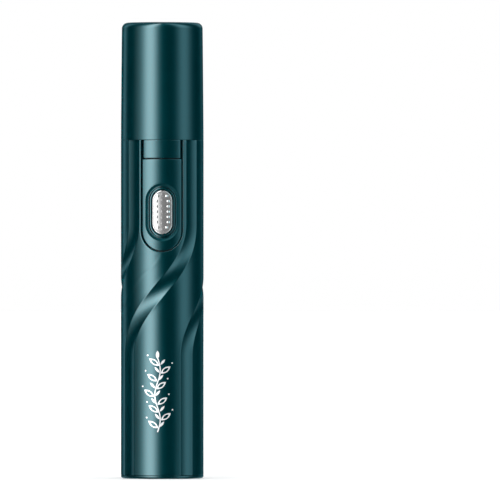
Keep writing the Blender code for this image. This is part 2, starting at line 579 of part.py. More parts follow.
# Cap.
cap_outline = [(BODY_R - 0.2, CAP_BOTTOM), (BODY_R, CAP_BOTTOM + 0.2), (12.1, 121.0), (11.98, 133.2)]
cap_outline += arc(10.28, 133.3, 1.7, 10, 90, 4)
cap_outline += [(0, CAP_TOP), (0, 133.3), (10.3, 133.3), (10.95, 121.0), (10.95, CAP_BOTTOM)]
lathe("cap", cap_outline, TEAL, FINE)
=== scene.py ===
"""Looks of a nose hair trimmer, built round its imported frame.

Sizes are in millimetres unless they say otherwise. Azimuths count from the front to the right.
"""

import json
import math

import bmesh
import bpy
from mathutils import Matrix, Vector


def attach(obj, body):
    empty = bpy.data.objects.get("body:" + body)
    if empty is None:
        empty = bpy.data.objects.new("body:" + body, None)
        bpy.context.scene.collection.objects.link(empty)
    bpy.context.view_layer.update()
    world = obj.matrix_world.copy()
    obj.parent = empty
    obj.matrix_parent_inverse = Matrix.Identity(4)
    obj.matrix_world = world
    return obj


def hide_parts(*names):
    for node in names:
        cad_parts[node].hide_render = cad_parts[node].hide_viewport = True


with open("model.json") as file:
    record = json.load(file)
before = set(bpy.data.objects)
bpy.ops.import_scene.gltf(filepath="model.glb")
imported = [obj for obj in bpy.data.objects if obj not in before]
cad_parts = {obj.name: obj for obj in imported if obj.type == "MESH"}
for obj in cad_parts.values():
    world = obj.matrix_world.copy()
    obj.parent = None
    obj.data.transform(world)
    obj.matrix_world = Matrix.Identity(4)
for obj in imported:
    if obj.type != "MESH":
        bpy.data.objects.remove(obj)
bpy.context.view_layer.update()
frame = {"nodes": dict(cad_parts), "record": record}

# --------------------------------------------------------------------------------------------------
# Barrel. A moulded plastic tube with four shallow flutes that run straight, twist and run straight
# again, and a U-shaped window open at the top. It is sprayed with a deep teal metallic paint and a
# gloss clear coat, which rounds every edge a little.
# --------------------------------------------------------------------------------------------------
MM = 0.001
BARREL_R = 12.25
BARREL_BORE_R = 10.45
BARREL_BOTTOM = 0.84
BARREL_TOP = 100.1
FOOT_ROUND = 0.25
MOUTH_ROUND = 0.1
FLUTE_PITCH_DEG = 90.0
FLUTE_WIDTH = 4.36
FLUTE_DEPTH = 0.45
FLUTE_SOFT = 0.06
FLUTE_TOP_DEG = 46.4
FLUTE_TWIST_DEG = 99.7
FLUTE_LEAD_DEG = 1.2
FLUTE_SPREAD = 0.8
TWIST_BOTTOM = 36.4
TWIST_TOP = 75.4
TWIST_ROW = 0.6
WINDOW_HALF = 6.27
WINDOW_BOTTOM = 67.0
WINDOW_CENTRE = WINDOW_BOTTOM + WINDOW_HALF
WINDOW_ROUND = 0.26
SEAM_BLEND = 8.0
DEG_PER_MM = math.degrees(1 / BARREL_R)

TEAL_DEEP = (0.0, 0.042, 0.052)
TEAL_LIGHT = (0.0, 0.058, 0.070)
TEAL_EDGE = (0.05, 0.55, 0.65)
TEAL_SHEEN = (0.0, 0.8, 1.0)


class Value:
    """A socket of a material's nodes; sums and products of values add Math nodes."""

    def __init__(self, finish, socket):
        self.finish = finish
        self.socket = socket

    def math(self, operation, *others):
        sockets = dict(enumerate((self, *others)))
        return self.finish.node("ShaderNodeMath", {"operation": operation}, sockets)

    def __add__(self, other):
        return self.math("ADD", other)

    def __sub__(self, other):
        return self.math("SUBTRACT", other)

    def __rsub__(self, other):
        return self.finish.node("ShaderNodeMath", {"operation": "SUBTRACT"}, {0: other, 1: self})

    def __mul__(self, other):
        return self.math("MULTIPLY", other)

    __radd__ = __add__
    __rmul__ = __mul__


class Finish:
    """A material and its nodes. shader() sets the Principled sockets, plain or linked."""

    def __init__(self, name, tree=None):
        if tree is None:
            self.material = bpy.data.materials.new(name)
            self.material.use_nodes = True
            tree = self.material.node_tree
        self.tree = tree

    def node(self, kind, settings, sockets, output=0):
        made = self.tree.nodes.new(kind)
        for name, setting in settings.items():
            setattr(made, name, setting)
        self.fill(made, sockets)
        return Value(self, made.outputs[output])

    def fill(self, made, sockets):
        for name, given in sockets.items():
            socket = made.inputs[name]
            if isinstance(given, Value):
                self.tree.links.new(given.socket, socket)
            elif isinstance(given, tuple) and len(given) == 3 and socket.type == "RGBA":
                socket.default_value = (*given, 1.0)
            else:
                socket.default_value = given

    def shader(self, sockets):
        self.fill(self.tree.nodes["Principled BSDF"], sockets)
        return self.material

    def place(self):
        """Place on the piece, in metres."""
        return self.node("ShaderNodeTexCoord", {}, {}, "Object")

    def noise(self, scale, detail=2.0, place=None):
        """Grey noise from 0 to 1 whose lumps are about 1/scale metres across."""
        sockets = {"Vector": place or self.place(), "Scale": scale, "Detail": detail}
        return self.node("ShaderNodeTexNoise", {}, sockets)

    def blend(self, share, first, second):
        """Colour between two colours."""
        return self.node("ShaderNodeMix", {"data_type": "RGBA"}, {0: share, 6: first, 7: second}, 2)

    def scaled(self, colour, share):
        """A colour made stronger or weaker by a value."""
        sockets = {0: colour, "Scale": share}
        return self.node("ShaderNodeVectorMath", {"operation": "SCALE"}, sockets)

    def bump(self, height, strength, distance):
        """Normal over a relief whose full height is a distance in millimetres."""
        sockets = {"Height": height, "Strength": strength, "Distance": distance * MM}
        return self.node("ShaderNodeBump", {}, sockets)


def teal_lacquer():
    """Metallic base coat with fine flakes under a clear coat with a faint orange peel."""
    finish = Finish("teal lacquer")
    flakes = finish.noise(9000.0, 1.0)
    cloud = finish.noise(60.0, 3.0)
    colour = finish.blend(flakes * 0.5 + cloud * 0.5, TEAL_DEEP, TEAL_LIGHT)
    peel = finish.bump(finish.noise(700.0, 1.0), 0.05, 0.02)
    return finish.shader({
        "Base Color": colour,
        "Metallic": 0.8,
        "Roughness": 0.30 + cloud * 0.05,
        "Specular IOR Level": 0.0,
        "Specular Tint": TEAL_EDGE,
        "Normal": peel,
        "Coat Weight": 1.0,
        "Coat Roughness": 0.07,
        "Coat IOR": 1.5,
        "Sheen Weight": 0.09,
        "Sheen Roughness": 0.4,
        "Sheen Tint": TEAL_SHEEN,
    })


TEAL = teal_lacquer()
MERGE_DISTANCE = 0.0005
SHORTEST_EDGE = 0.0001
replaced = set()  # CAD nodes that a piece stands for


def make_piece(name, bm, material, body, *nodes, angle=40):
    """Turn a mesh in millimetres into a piece that rides on a body and stands for CAD nodes."""
    bmesh.ops.remove_doubles(bm, verts=bm.verts, dist=MERGE_DISTANCE)
    bmesh.ops.dissolve_degenerate(bm, edges=bm.edges, dist=SHORTEST_EDGE)
    bmesh.ops.scale(bm, vec=(MM, MM, MM), verts=bm.verts)
    bmesh.ops.recalc_face_normals(bm, faces=bm.faces)
    mesh = bpy.data.meshes.new(name)
    bm.to_mesh(mesh)
    bm.free()
    mesh.shade_smooth()
    mesh.set_sharp_from_angle(angle=math.radians(angle))
    mesh.materials.append(material)
    piece = bpy.data.objects.new(name, mesh)
    bpy.context.scene.collection.objects.link(piece)
    level = piece.modifiers.new("level", "WEIGHTED_NORMAL")
    level.keep_sharp = True
    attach(piece, body)
    if nodes:
        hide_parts(*nodes)
        replaced.update(nodes)
    return piece


def polar(radius, azimuth_deg, height):
    """Point at an azimuth that counts from the front towards the right."""
    angle = math.radians(azimuth_deg)
    return Vector((radius * math.sin(angle), -radius * math.cos(angle), height))


def round_over(distance, radius):
    """How far a rounded edge drops at a distance from the edge."""
    if distance >= radius:
        return 0.0
    return radius - math.sqrt(radius ** 2 - (radius - max(distance, 0.0)) ** 2)


def smooth_step(share):
    """Ease from 0 to 1, and stay there past either end."""
    share = min(max(share, 0.0), 1.0)
    return share * share * (3 - 2 * share)


def flute_centre(height):
    """Azimuth of the middle of one flute: straight, twisted and straight again."""
    share = min(max((height - TWIST_BOTTOM) / (TWIST_TOP - TWIST_BOTTOM), 0.0), 1.0)
    lead = FLUTE_LEAD_DEG * math.sin(math.pi * share)
    return FLUTE_TOP_DEG - FLUTE_TWIST_DEG * (0.5 + 0.5 * math.cos(math.pi * share)) + lead


def flute_half(height):
    """Half the angle that a flute spans, wider where the flute leans."""
    slope = math.radians(flute_centre(height + 0.5) - flute_centre(height - 0.5))
    return FLUTE_WIDTH / 2 * DEG_PER_MM * math.hypot(1.0, FLUTE_SPREAD * BARREL_R * slope)


def flute_depth(across):
    """Depth of a flute at a share of its half width: a shallow arc whose edges are rounded over."""
    across = abs(across)
    if across < 1 - FLUTE_SOFT:
        return FLUTE_DEPTH * (1 - across ** 2)
    if across < 1 + FLUTE_SOFT:
        return FLUTE_DEPTH * (1 + FLUTE_SOFT - across) ** 2 / (2 * FLUTE_SOFT)
    return 0.0


def window_edge(height):
    """Azimuth of the window's right edge; under the window, the line where the mesh closes."""
    if height >= WINDOW_BOTTOM:
        below = max(WINDOW_CENTRE - height, 0.0)
        x = math.sqrt(max(WINDOW_HALF ** 2 - below ** 2, 0.0))
        return math.degrees(math.asin(x / BARREL_R))
    share = smooth_step((WINDOW_BOTTOM - height) / SEAM_BLEND)
    return share * (flute_centre(height) - FLUTE_PITCH_DEG / 2)


def window_distance(azimuth, height):
    """Distance from a point of the surface to the window's outline."""
    across = (azimuth + 180.0) % 360.0 - 180.0
    x = BARREL_R * math.sin(math.radians(across)) if abs(across) < 90 else BARREL_R
    if height >= WINDOW_CENTRE:
        return abs(x) - WINDOW_HALF
    return math.hypot(x, height - WINDOW_CENTRE) - WINDOW_HALF


# Columns of the mesh: distances from the window's edge, shares of half a flute's width, and how
# many steps the plain surface has before each flute and after the last one.
EDGE_STEPS = (0.0, 0.03, 0.08, 0.15, 0.26, 0.45)
FLUTE_STEPS = (-1.06, -1.03, -1.0, -0.97, -0.94, -0.8, -0.6, -0.3, 0.0,
               0.3, 0.6, 0.8, 0.94, 0.97, 1.0, 1.03, 1.06)
PLAIN_STEPS = (6, 12, 12, 12)
LAST_PLAIN_STEPS = 8


def barrel_columns(height):
    """Azimuths round the barrel at one height, denser at the window's edges and in the flutes."""
    edge = window_edge(height)
    low_edge = -edge if height >= WINDOW_BOTTOM else edge
    centre = flute_centre(height)
    half = flute_half(height)
    columns = [edge + step * DEG_PER_MM for step in EDGE_STEPS]
    for turn, steps in enumerate(PLAIN_STEPS):
        middle = centre + FLUTE_PITCH_DEG * turn
        start = columns[-1]
        end = middle - half * FLUTE_STEPS[-1]
        columns += [start + (end - start) * step / steps for step in range(1, steps)]
        columns += [middle + half * step for step in FLUTE_STEPS]
    start = columns[-1]
    end = 360 + low_edge - EDGE_STEPS[-1] * DEG_PER_MM
    steps = LAST_PLAIN_STEPS
    columns += [start + (end - start) * step / steps for step in range(1, steps)]
    columns += [360 + low_edge - step * DEG_PER_MM for step in reversed(EDGE_STEPS)]
    return columns


def barrel_radius(azimuth, height):
    """Radius of the painted outside, less in the flutes and at every edge."""
    shift = FLUTE_PITCH_DEG / 2
    off = (azimuth - flute_centre(height) + shift) % FLUTE_PITCH_DEG - shift
    drop = flute_depth(off / flute_half(height))
    drop += round_over(window_distance(azimuth, height), WINDOW_ROUND)
    drop += (round_over(height - BARREL_BOTTOM, FOOT_ROUND)
             + round_over(BARREL_TOP - height, MOUTH_ROUND))
    return BARREL_R - drop


# Rows of the mesh: the foot, the twist, the window's round end and straight sides, and the mouth.
rows = [BARREL_BOTTOM + step for step in (0.0, 0.02, 0.05, 0.1, 0.17, 0.25, 3.0, 12.0, 24.0)]
rows += [TWIST_BOTTOM + TWIST_ROW * step for step in range(50)]
rows += [WINDOW_BOTTOM - step for step in (0.45, 0.26, 0.17, 0.1, 0.05, 0.02)]
window_rows = [WINDOW_CENTRE - WINDOW_HALF * math.cos(math.radians(turn))
               for turn in range(0, 91, 5)]
rows += window_rows
rows += [WINDOW_CENTRE + 0.7 * step for step in range(1, 4)]
rows += [BARREL_TOP - step for step in (20.0, 15.0, 10.0, 5.0, 1.0, 0.1, 0.06, 0.03, 0.01, 0.0)]
barrel = bmesh.new()
skins = []
for inner in (False, True):
    grid = []
    for height in rows:
        row = []
        for azimuth in barrel_columns(height):
            radius = BARREL_BORE_R if inner else barrel_radius(azimuth, height)
            row.append(barrel.verts.new(polar(radius, azimuth, height)))
        grid.append(row)
    skins.append(grid)
for grid in skins:
    for low, high in zip(grid, grid[1:]):
        for index in range(len(low) - 1):
            barrel.faces.new((low[index], low[index + 1], high[index + 1], high[index]))
outside, inside = skins
for level in (0, -1):
    for index in range(len(outside[level]) - 1):
        barrel.faces.new((outside[level][index], outside[level][index + 1],
                          inside[level][index + 1], inside[level][index]))
first_open = rows.index(window_rows[0])
for level in range(first_open, len(rows) - 1):
    for side in (0, -1):
        barrel.faces.new((outside[level][side], outside[level + 1][side],
                          inside[level + 1][side], inside[level][side]))
make_piece("barrel", barrel, TEAL, "handle", "outer_shell")

# --------------------------------------------------------------------------------------------------
# Collar. One moulding in the same paint: a lipped ring that the cap grips, a neck and spigot for
# the head, and the tab that fills the top of the barrel's window. It is glued into the mouth of
# the barrel.
# --------------------------------------------------------------------------------------------------
NECK_R = 8.0
NECK_TOP = 104.3
SPIGOT_R = 6.0
SPIGOT_TOP = 107.5
LIP_ROUND = 0.4
FINE_ROUND = 0.2
COLLAR_TOP = 102.25
TAB_HALF = 5.55
TAB_BOTTOM = 94.7
PLATE_ROUND = 0.22
TAB_BACK_R = 9.9
SIDE_STEPS = 26
SPIN_STEPS = 144


def arc(centre_r, centre_z, radius, start_deg, end_deg, steps):
    """Points of a round corner in a (radius, height) outline."""
    points = []
    for step in range(steps + 1):
        angle = math.radians(start_deg + (end_deg - start_deg) * step / steps)
        points.append((centre_r + radius * math.cos(angle), centre_z + radius * math.sin(angle)))
    return points


def window_shape(half, bottom, top, steps=SIDE_STEPS):
    """Outline (x, z) of a U: round end, right side, straight top and left side in equal steps."""
    side = top - bottom - half
    points = []
    for step in range(steps):
        angle = math.radians(180.0 + 180.0 * step / steps)
        points.append((half * math.cos(angle), bottom + half + half * math.sin(angle)))
    points += [(half, bottom + half + side * step / steps) for step in range(steps)]
    points += [(half - 2 * half * step / steps, top) for step in range(steps)]
    points += [(-half, top - side * step / steps) for step in range(steps)]
    return points


def box_shape(half, bottom, top, steps=SIDE_STEPS):
    """Outline (x, z) of an upright rectangle."""
    points = [(-half + 2 * half * step / steps, bottom) for step in range(steps)]
    points += [(half, bottom + (top - bottom) * step / steps) for step in range(steps)]
    points += [(half - 2 * half * step / steps, top) for step in range(steps)]
    points += [(-half, top - (top - bottom) * step / steps) for step in range(steps)]
    return points


def on_barrel(outline, radius):
    """Lay an (x, z) outline, drawn at the barrel's radius, onto another radius."""
    return [polar(radius, math.degrees(math.asin(x / BARREL_R)), z) for x, z in outline]


def skin_rings(bm, rings, closed=False, ends=False):
    """Join rings of equal length with quads; closed joins the last to the first, ends caps both."""
    loops = [[bm.verts.new(point) for point in ring] for ring in rings]
    if ends:
        bm.faces.new(loops[0])
        bm.faces.new(loops[-1])
    pairs = list(zip(loops, loops[1:])) + ([(loops[-1], loops[0])] if closed else [])
    for low, high in pairs:
        for index in range(len(low)):
            after = (index + 1) % len(low)
            bm.faces.new((low[index], low[after], high[after], high[index]))


def level_circle(radius, height, steps, start_deg=0.0):
    """Circle round the axis."""
    return [polar(radius, start_deg + 360 / steps * step, height) for step in range(steps)]


def spin_outline(bm, outline, steps, closed=True):
    """Spin a (radius, height) outline round the axis; an open one starts and ends on the axis."""
    skin_rings(bm, [level_circle(radius, height, steps) for radius, height in outline], closed)


def between(first, second, share):
    """Outline part of the way from one outline to another."""
    return [(a[0] + (b[0] - a[0]) * share, a[1] + (b[1] - a[1]) * share)
            for a, b in zip(first, second)]


def quarter_round(radius, steps=5):
    """Steps over a rounded edge: how far in from its wall, and how far down from its face."""
    angles = [math.radians(90 * step / steps) for step in range(steps + 1)]
    return [(radius * (1 - math.cos(angle)), radius * (1 - math.sin(angle))) for angle in angles]


def plate_edge(make_shape, half, bottom, top, back_r):
    """Rings of a plate's wall and rounded edge, from its back to a face flush with the barrel."""
    rings = [on_barrel(make_shape(half, bottom, top), back_r)]
    for inset, drop in quarter_round(PLATE_ROUND):
        shape = make_shape(half - inset, bottom + inset, top - inset)
        rings.append(on_barrel(shape, BARREL_R - drop))
    return rings


# Up the outside from the foot in the barrel's mouth, over the lip, neck and spigot, down the bore.
collar_outline = [(9.0, 97.0), (10.1, 97.0), (10.3, 99.7), (10.34, 100.0), (10.37, 100.4)]
collar_outline += [(10.42, 100.8), (10.5, 101.1), (10.6, 101.4), (10.63, 101.6)]
collar_outline += arc(10.23, COLLAR_TOP - LIP_ROUND, LIP_ROUND, 10, 90, 6)
collar_outline += [(NECK_R + FINE_ROUND, COLLAR_TOP), (NECK_R, COLLAR_TOP + 0.15)]
collar_outline += arc(NECK_R - FINE_ROUND, NECK_TOP - FINE_ROUND, FINE_ROUND, 0, 90, 3)
collar_outline += [(SPIGOT_R, NECK_TOP), (SPIGOT_R, 105.2), (5.6, 105.2), (5.6, 106.4)]
collar_outline += [(SPIGOT_R, 106.4)]
collar_outline += arc(SPIGOT_R - FINE_ROUND, SPIGOT_TOP - FINE_ROUND, FINE_ROUND, 0, 90, 3)
collar_outline += [(5.0, SPIGOT_TOP), (5.0, 101.0), (9.0, 101.0)]
collar = bmesh.new()
spin_outline(collar, collar_outline, SPIN_STEPS)
tab_middle = (TAB_BOTTOM + BARREL_TOP) / 2
tab_edge = box_shape(TAB_HALF - PLATE_ROUND, TAB_BOTTOM + PLATE_ROUND, BARREL_TOP - PLATE_ROUND)
tab_core = box_shape(0.1, tab_middle - 0.1, tab_middle + 0.1)
tab_rings = [on_barrel(tab_core, TAB_BACK_R)]
tab_rings += plate_edge(box_shape, TAB_HALF, TAB_BOTTOM, BARREL_TOP, TAB_BACK_R)
tab_rings += [on_barrel(between(tab_edge, tab_core, step / 8), BARREL_R) for step in range(1, 9)]
skin_rings(collar, tab_rings, ends=True)
make_piece("collar", collar, TEAL, "handle", "collar")

# --------------------------------------------------------------------------------------------------
# Switch panel. A curved painted plate clipped into the window, with a dished oval recess round the
# button's opening. Its edges are softly rounded, so they catch a thin line of light.
# --------------------------------------------------------------------------------------------------
PANEL_HALF = 5.85
PANEL_BOTTOM = 67.35
PANEL_TOP = 94.42
PANEL_BACK_R = 11.1
BUTTON_X = 0.12
BUTTON_Z = 78.72
BUTTON_HALF = 3.8
BUTTON_RISE = 7.27
OPENING_GAP = 0.3
DISH_HALF = 5.05
DISH_RISE = 8.52
# From the dish's edge to the opening: share of the way, and how far the surface drops.
DISH_DROPS = ((-0.06, 0.0), (0.0, 0.01), (0.07, 0.045), (0.35, 0.175), (0.74, 0.35), (0.79, 0.36),
              (0.83, 0.335), (0.86, 0.325), (0.93, 0.325), (0.97, 0.36), (0.99, 0.40), (1.0, 0.50))


def slot_shape(half, bottom, top, steps=SIDE_STEPS):
    """Outline (x, z) of an upright slot with two round ends, in step with window_shape."""
    side = top - bottom - 2 * half
    points = []
    for step in range(steps):
        angle = math.radians(180.0 + 180.0 * step / steps)
        points.append((half * math.cos(angle), bottom + half + half * math.sin(angle)))
    points += [(half, bottom + half + side * step / steps) for step in range(steps)]
    for step in range(steps):
        angle = math.radians(180.0 * step / steps)
        points.append((half * math.cos(angle), top - half + half * math.sin(angle)))
    points += [(-half, top - half - side * step / steps) for step in range(steps)]
    return points


def button_shape(half, rise):
    """Outline of a slot shape that lies round the middle of the button."""
    return [(BUTTON_X + x, z) for x, z in slot_shape(half, BUTTON_Z - rise, BUTTON_Z + rise)]


panel_rings = plate_edge(window_shape, PANEL_HALF, PANEL_BOTTOM, PANEL_TOP, PANEL_BACK_R)
panel_edge = window_shape(
    PANEL_HALF - PLATE_ROUND, PANEL_BOTTOM + PLATE_ROUND, PANEL_TOP - PLATE_ROUND)
dish_edge = button_shape(DISH_HALF, DISH_RISE)
opening = button_shape(BUTTON_HALF + OPENING_GAP, BUTTON_RISE + OPENING_GAP)
for step in range(1, 10):
    panel_rings.append(on_barrel(between(panel_edge, dish_edge, step / 10), BARREL_R))
for share, drop in DISH_DROPS:
    panel_rings.append(on_barrel(between(dish_edge, opening, share), BARREL_R - drop))
panel_rings.append(on_barrel(opening, PANEL_BACK_R))
panel = bmesh.new()
skin_rings(panel, panel_rings, closed=True)
make_piece("switch_panel", panel, TEAL, "handle", "switch_panel")

# --------------------------------------------------------------------------------------------------
# Button. A painted moulding with a bright rounded rim and a pocket. Its flange sits behind the
# panel and stops it from falling out; it presses the switch straight in by 0.6 mm.
# --------------------------------------------------------------------------------------------------
BUTTON_BACK_R = 9.95
FLANGE_R = 10.7
FLANGE_HALF = 4.75
FLANGE_RISE = 8.45
INLAY_HALF = 3.03
INLAY_RISE = 6.45
POCKET_GAP = 0.26
POCKET_R = 11.35
POCKET_INSET = 0.03
MOAT_R = 10.4
SLOT_CORE = INLAY_HALF - 0.1
# Over the rim: how far in from the button's outline, and the radius there.
BUTTON_RIM = ((0.0, 11.78), (0.01, 11.92), (0.03, 11.965), (0.05, 11.98), (0.38, 11.98),
              (0.40, 11.965), (0.42, 11.92), (0.43, 11.8))


def button_slot(inset):
    """Outline of the button, drawn in by an inset."""
    return button_shape(BUTTON_HALF - inset, BUTTON_RISE - inset)


def inlay_slot(inset):
    """Outline of the inlay, drawn in by an inset."""
    return button_shape(INLAY_HALF - inset, INLAY_RISE - inset)


flange = button_shape(FLANGE_HALF, FLANGE_RISE)
button_rings = [on_barrel(inlay_slot(SLOT_CORE), BUTTON_BACK_R)]
button_rings += [on_barrel(flange, radius) for radius in (BUTTON_BACK_R, FLANGE_R)]
button_rings.append(on_barrel(button_slot(0.0), FLANGE_R))
button_rings += [on_barrel(button_slot(inset), radius) for inset, radius in BUTTON_RIM]
button_rings += [on_barrel(inlay_slot(inset), MOAT_R) for inset in (-POCKET_GAP, POCKET_INSET)]
button_rings += [on_barrel(inlay_slot(inset), POCKET_R) for inset in (POCKET_INSET, SLOT_CORE)]
button = bmesh.new()
skin_rings(button, button_rings, ends=True)
make_piece("button_body", button, TEAL, "button", "button_body")

# --------------------------------------------------------------------------------------------------
# Button inlay. A stamped metal plate, nickel plated and polished, with a raised rim, a crowned
# field and three columns of pressed dots that give the thumb its grip. It is pressed into the
# button.
# --------------------------------------------------------------------------------------------------
DOT_R = 0.54
SIDE_RISE = 0.14
MIDDLE_RISE = 0.02
DOTS_Z = 78.9
SIDE_X = 1.8
END_SHIFT = 0.45
SIDE_PITCH = 1.55
MIDDLE_PITCH = 1.73
DOT_STEPS = 18
INLAY_BACK_R = 11.42
FIELD_R = 11.98
# Over the rim to the field: how far in from the inlay's outline, and the radius there.
INLAY_RIM = ((0.0, 11.8), (0.02, 11.87), (0.06, 11.94), (0.12, 11.99), (0.2, 12.02), (0.3, 12.02),
             (0.36, 11.99), (0.42, FIELD_R), (1.0, FIELD_R), (1.6, FIELD_R), (2.1, FIELD_R),
             (2.6, FIELD_R), (SLOT_CORE, FIELD_R))


def polished_nickel():
    """Bright plating with faint upright polishing lines and a slight cloudiness."""
    finish = Finish("polished nickel")
    stretched = finish.node("ShaderNodeVectorMath", {"operation": "MULTIPLY"},
                            {0: finish.place(), 1: (1.0, 1.0, 0.04)})
    lines = finish.noise(6000.0, 2.0, stretched)
    cloud = finish.noise(300.0, 2.0)
    return finish.shader({
        "Base Color": finish.blend(cloud, (0.60, 0.60, 0.60), (0.68, 0.68, 0.68)),
        "Metallic": 0.74,
        "Roughness": 0.10 + cloud * 0.06,
        "Normal": finish.bump(lines, 0.08, 0.01),
    })


def circle(x, z, radius, steps):
    """Outline (x, z) of a circle."""
    angles = [math.tau * step / steps for step in range(steps)]
    return [(x + radius * math.cos(angle), z + radius * math.sin(angle)) for angle in angles]


def press_dot(bm, x, z, height):
    """A soft round bump on the field, from the sunk middle of its back to its top."""
    profile = [(0.05, -0.1), (1.0, -0.05)]
    for step in range(9):
        reach = 1.0 - step / 8.5
        profile.append((reach, height * (1 - reach ** 2) ** 2))
    rings = [on_barrel(circle(BUTTON_X + x, z, reach * DOT_R, DOT_STEPS), FIELD_R + rise)
             for reach, rise in profile]
    skin_rings(bm, rings, ends=True)


inlay = bmesh.new()
inlay_rings = [on_barrel(inlay_slot(inset), INLAY_BACK_R) for inset in (SLOT_CORE, 0.0)]
inlay_rings += [on_barrel(inlay_slot(inset), radius) for inset, radius in INLAY_RIM]
skin_rings(inlay, inlay_rings, ends=True)
for row in range(-3, 4):
    press_dot(inlay, 0.0, DOTS_Z + row * MIDDLE_PITCH, MIDDLE_RISE)
    side_x = SIDE_X if abs(row) < 3 else SIDE_X - END_SHIFT
    for x in (-side_x, side_x):
        press_dot(inlay, x, DOTS_Z + row * SIDE_PITCH, SIDE_RISE)
make_piece("button_inlay", inlay, polished_nickel(), "button", "button_inlay")

# --------------------------------------------------------------------------------------------------
# Ornament. A silver transfer on the barrel under the window: a slim stem with paired leaves and
# small beads, printed in bright ink that stands a hair proud of the paint.
# --------------------------------------------------------------------------------------------------
ORNAMENT_X = -1.3
ORNAMENT_BOTTOM = 13.8
ORNAMENT_TOP = 35.8
ORNAMENT_SPAN = ORNAMENT_TOP - ORNAMENT_BOTTOM
STEM_HALF = 0.16
STEM_SWAY = 0.8
STEM_STEPS = 48
LEAF_COUNT = 9
LEAF_PITCH = 2.3
FIRST_LEAF = 1.2
LEAF_STEPS = 10
LINE_SHARE = 0.42
BEAD_R = 0.24
BEAD_STEPS = 16
INK_FACE_R = BARREL_R + 0.03
INK_BACK_R = BARREL_R - 0.05


def silver_ink():
    """Bright silver printing ink with a fine grain."""
    finish = Finish("silver ink")
    grain = finish.noise(2500.0, 2.0)
    return finish.shader({
        "Base Color": finish.blend(grain, (0.74, 0.76, 0.78), (0.88, 0.89, 0.90)),
        "Metallic": 0.35,
        "Roughness": 0.3 + grain * 0.12,
    })


def middle_of(outline):
    """Mean of an outline's points."""
    return (sum(x for x, z in outline) / len(outline), sum(z for x, z in outline) / len(outline))


def ink_shape(bm, outline):
    """A thin raised patch of ink with this (x, z) outline, fanned from its middle."""
    face = [bm.verts.new(point) for point in on_barrel(outline, INK_FACE_R)]
    foot = [bm.verts.new(point) for point in on_barrel(outline, INK_BACK_R)]
    centre = bm.verts.new(on_barrel([middle_of(outline)], INK_FACE_R)[0])
    for index in range(len(face)):
        after = (index + 1) % len(face)
        bm.faces.new((face[index], face[after], centre))
        bm.faces.new((face[index], foot[index], foot[after], face[after]))


def leaf_outline(foot, length, width, lean_deg):
    """Outline of a pointed leaf from its foot, leaning from upright."""
    lean = math.radians(lean_deg)
    outline = []
    for side in (1, -1):
        for step in range(LEAF_STEPS):
            share = step / LEAF_STEPS if side > 0 else 1 - step / LEAF_STEPS
            bulge = side * width / 2 * math.sin(math.pi * share) ** 0.8
            along = length * share
            outline.append((foot[0] + along * math.sin(lean) + bulge * math.cos(lean),
                            foot[1] + along * math.cos(lean) - bulge * math.sin(lean)))
    return outline


def leaf(bm, foot, length, width, lean_deg):
    ink_shape(bm, leaf_outline(foot, length, width, lean_deg))


def open_leaf(bm, foot, length, width, lean_deg):
    """A leaf drawn as a line round its edge."""
    outer = leaf_outline(foot, length, width, lean_deg)
    inner = between(outer, [middle_of(outer)] * len(outer), LINE_SHARE)
    rings = [on_barrel(outer, INK_BACK_R), on_barrel(outer, INK_FACE_R),
             on_barrel(inner, INK_FACE_R), on_barrel(inner, INK_BACK_R)]
    skin_rings(bm, rings, closed=True)


def stem_x(z):
    """Middle of the stem, which sways to one side, the other and back."""
    return ORNAMENT_X + STEM_SWAY * math.sin((z - ORNAMENT_BOTTOM) / ORNAMENT_SPAN * math.tau * 1.5)


ornament = bmesh.new()
stem_levels = [ORNAMENT_BOTTOM + ORNAMENT_SPAN * step / STEM_STEPS
               for step in range(STEM_STEPS + 1)]
stem_outline = [(stem_x(z) + STEM_HALF, z) for z in stem_levels]
stem_outline += [(stem_x(z) - STEM_HALF, z) for z in reversed(stem_levels)]
stem_face = [ornament.verts.new(point) for point in on_barrel(stem_outline, INK_FACE_R)]
stem_foot = [ornament.verts.new(point) for point in on_barrel(stem_outline, INK_BACK_R)]
for index in range(len(stem_face)):
    after = (index + 1) % len(stem_face)
    ornament.faces.new((stem_face[index], stem_foot[index], stem_foot[after], stem_face[after]))
for index in range(STEM_STEPS):
    opposite = len(stem_face) - 1 - index
    ornament.faces.new((stem_face[index], stem_face[index + 1],
                        stem_face[opposite - 1], stem_face[opposite]))
for step in range(LEAF_COUNT):
    z = ORNAMENT_BOTTOM + FIRST_LEAF + step * LEAF_PITCH
    side = 1 if step % 2 else -1
    open_leaf(ornament, (stem_x(z) + side * 0.2, z), 3.6, 1.5, 54 * side)
    leaf(ornament, (stem_x(z) - side * 0.2, z + 0.3), 2.1, 0.7, -40 * side)
    ink_shape(ornament, circle(stem_x(z) + side * 3.6, z + 3.1, BEAD_R, BEAD_STEPS))
leaf(ornament, (ORNAMENT_X, ORNAMENT_TOP - 0.4), 2.4, 1.0, 0)
make_piece("ornament", ornament, silver_ink(), "handle")

# --------------------------------------------------------------------------------------------------
# Lock ring. A short painted cone that turns on the neck; a pad moulded on each side gives finger
# and thumb their grip. Its outside is flush with the nose cone above it.
# --------------------------------------------------------------------------------------------------
RING_BOTTOM = 102.6
RING_TOP = 109.2
RING_R = 9.38
RING_BORE_R = NECK_R + 0.25
CONE_SLOPE = 0.132
RING_STEPS = 240
RING_FOOT_ROUND = 0.22
RING_TOP_ROUND = 0.18
RING_SIDE = 6.2
GRIP_HALF_DEG = 26.0
GRIP_TAPER_DEG = 6.0
GRIP_EDGE_DEG = 5.0
GRIP_PROUD = 0.68
SKIRT_R = 7.15
SHELF_Z = 104.8


